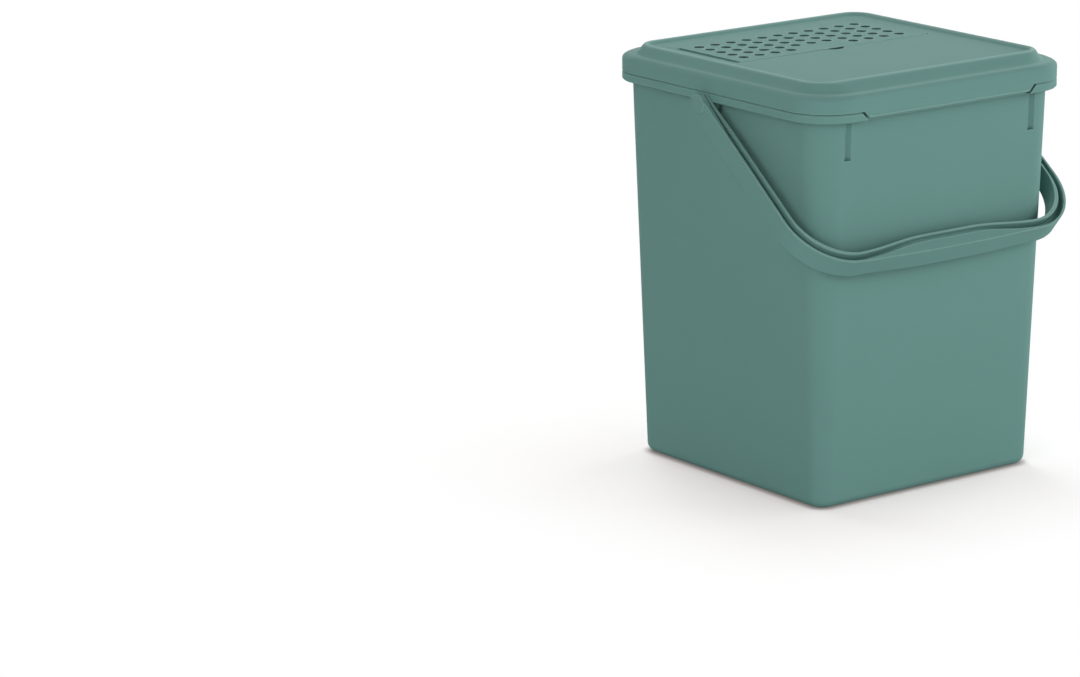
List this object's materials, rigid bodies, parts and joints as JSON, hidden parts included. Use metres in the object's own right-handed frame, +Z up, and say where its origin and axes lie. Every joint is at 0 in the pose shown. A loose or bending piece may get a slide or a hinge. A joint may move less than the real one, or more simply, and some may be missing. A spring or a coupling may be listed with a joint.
{
  "type": "kitchen compost bin",
  "caption": "Tapered square kitchen bucket with a rim bead, a swinging carry handle and a lift-off lid whose perforated cover tilts up over a filter pad.",
  "frame": {"origin": "middle of the bucket's base, on the surface that the bin stands on", "axes": "+Z up; -Y is the front, where the lid has its grip lip and the handle hangs; +X is the right-hand side as seen from the front"},
  "size_m": [0.2312, 0.2263, 0.277],
  "materials": {
    "bucket_plastic": "sage green polypropylene with a fine moulded texture",
    "lid_plastic": "sage green polypropylene with a fine moulded texture",
    "filter_pad": "black carbon felt"
  },
  "bodies": {
    "bucket": {"bucket": "bucket_plastic"},
    "lid": {"lid": "lid_plastic", "carbon_filter": "filter_pad"},
    "vent_cover": {"vent_cover": "lid_plastic"},
    "carry_handle": {"carry_handle": "bucket_plastic"}
  },
  "joints": [
    {"name": "lid_lift", "type": "slide", "parent": "bucket", "child": "lid", "axis": [0, 0, 1], "range_m": [0, 0.1]},
    {"name": "vent_cover_tilt", "type": "hinge", "parent": "lid", "child": "vent_cover", "pos_m": [0, 0.077, 0.275], "axis": [-1, 0, 0], "range_deg": [0, 105]},
    {"name": "carry_handle_swing", "type": "hinge", "parent": "bucket", "child": "carry_handle", "pos_m": [0, 0.0035, 0.2512], "axis": [-1, 0, 0], "range_deg": [0, 261]}
  ]
}
